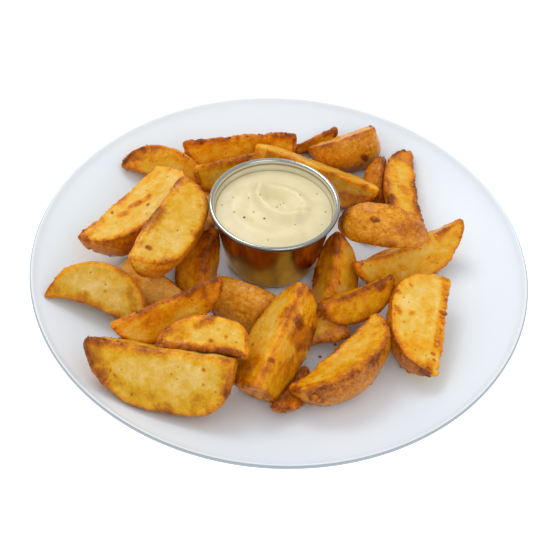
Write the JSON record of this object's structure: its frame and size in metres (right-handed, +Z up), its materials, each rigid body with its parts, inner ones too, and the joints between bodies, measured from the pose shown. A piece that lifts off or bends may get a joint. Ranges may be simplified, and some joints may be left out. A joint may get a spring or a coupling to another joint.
{
  "type": "plate of patatas bravas",
  "caption": "Round coupe plate of fried potato wedges heaped round a small steel cup of white dip.",
  "frame": {"origin": "middle of the plate's underside, at the height its foot ring stands on", "axes": "+Z up, -Y towards the front of the plate, +X to the right seen from the front"},
  "size_m": [0.2598, 0.2598, 0.0523],
  "materials": {
    "white_glaze": "glossy white glazed porcelain",
    "steel": "polished stainless steel",
    "white_dip": "smooth pale cream sauce, satin",
    "fried_potato": "fried potato, golden, browned at its edges, lightly oiled"
  },
  "bodies": {
    "root": {"cup": "steel", "dip": "white_dip", "plate": "white_glaze", "wedge_back_left": "fried_potato", "wedge_back_mid": "fried_potato", "wedge_back_strip": "fried_potato", "wedge_behind_cup": "fried_potato", "wedge_boomerang": "fried_potato", "wedge_centre": "fried_potato", "wedge_crusty": "fried_potato", "wedge_cup_front": "fried_potato", "wedge_cup_left": "fried_potato", "wedge_cup_right": "fried_potato", "wedge_eye": "fried_potato", "wedge_far_back": "fried_potato", "wedge_front_left": "fried_potato", "wedge_left": "fried_potato", "wedge_olive": "fried_potato", "wedge_orange_long": "fried_potato", "wedge_pale": "fried_potato", "wedge_red_back": "fried_potato", "wedge_right": "fried_potato", "wedge_skin_cup": "fried_potato", "wedge_skin_left": "fried_potato", "wedge_skin_right": "fried_potato", "wedge_small_right": "fried_potato", "wedge_under_front": "fried_potato", "wedge_under_right": "fried_potato", "wedge_upright": "fried_potato", "wedge_yellow_back": "fried_potato", "wedge_yellow_left": "fried_potato"}
  },
  "joints": []
}
